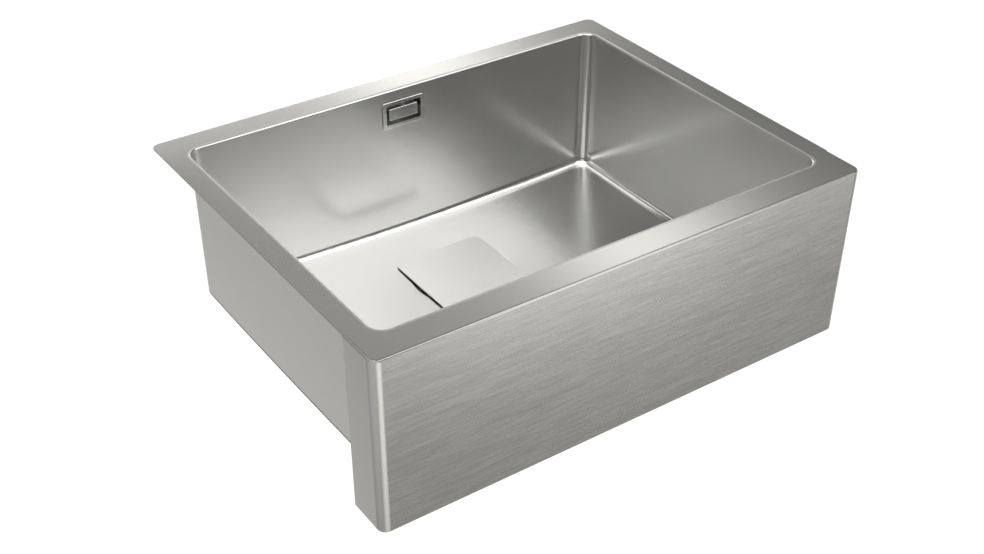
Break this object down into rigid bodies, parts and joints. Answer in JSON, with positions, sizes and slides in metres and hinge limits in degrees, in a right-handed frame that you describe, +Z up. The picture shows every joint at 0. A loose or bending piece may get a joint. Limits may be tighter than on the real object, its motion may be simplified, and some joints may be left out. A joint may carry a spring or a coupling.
{
  "type": "farmhouse apron front sink",
  "caption": "Deep single-bowl farmhouse kitchen sink in satin steel with a flat rim, folded front apron, square waste cover, strainer basket and piped overflow.",
  "frame": {"origin": "underside of the rim, in the middle of the rear ledge", "axes": "+X to the right seen from the apron, +Y from the apron to the rear, +Z up"},
  "size_m": [0.6, 0.47, 0.279],
  "materials": {
    "satin_steel": "satin",
    "brushed_steel": "brushed along its length",
    "pressed_steel": "smooth",
    "chrome": "polished",
    "black_rubber": "matte",
    "grey_pad": "matte",
    "white_plastic": "satin",
    "grey_plastic": "satin",
    "brass": "machined"
  },
  "bodies": {
    "sink": {"bowl": "satin_steel", "rim": "satin_steel", "apron": "brushed_steel", "apron_brace_left": "pressed_steel", "apron_brace_right": "pressed_steel", "sound_pad_left": "grey_pad", "sound_pad_right": "grey_pad", "flange_seal_top": "black_rubber", "flange_seal_bottom": "black_rubber", "waste_flange": "pressed_steel", "waste_body": "white_plastic", "waste_insert": "brass", "waste_screw": "pressed_steel", "overflow_frame": "chrome", "overflow_plate": "chrome", "overflow_screws": "pressed_steel", "overflow_gasket": "black_rubber", "overflow_elbow": "white_plastic", "overflow_pipe": "white_plastic", "overflow_nuts": "white_plastic", "overflow_seals": "black_rubber"},
    "basket": {"strainer_basket": "pressed_steel", "basket_seal": "black_rubber", "basket_knob": "grey_plastic"},
    "cover": {"waste_cover": "satin_steel", "cover_ring": "grey_plastic", "cover_feet": "black_rubber"}
  },
  "joints": [
    {"name": "basket_lift", "type": "slide", "parent": "sink", "child": "basket", "axis": [0, 0, 1], "range_m": [0, 0.25]},
    {"name": "cover_lift", "type": "slide", "parent": "basket", "child": "cover", "axis": [0, 0, 1], "range_m": [0, 0.2]}
  ]
}
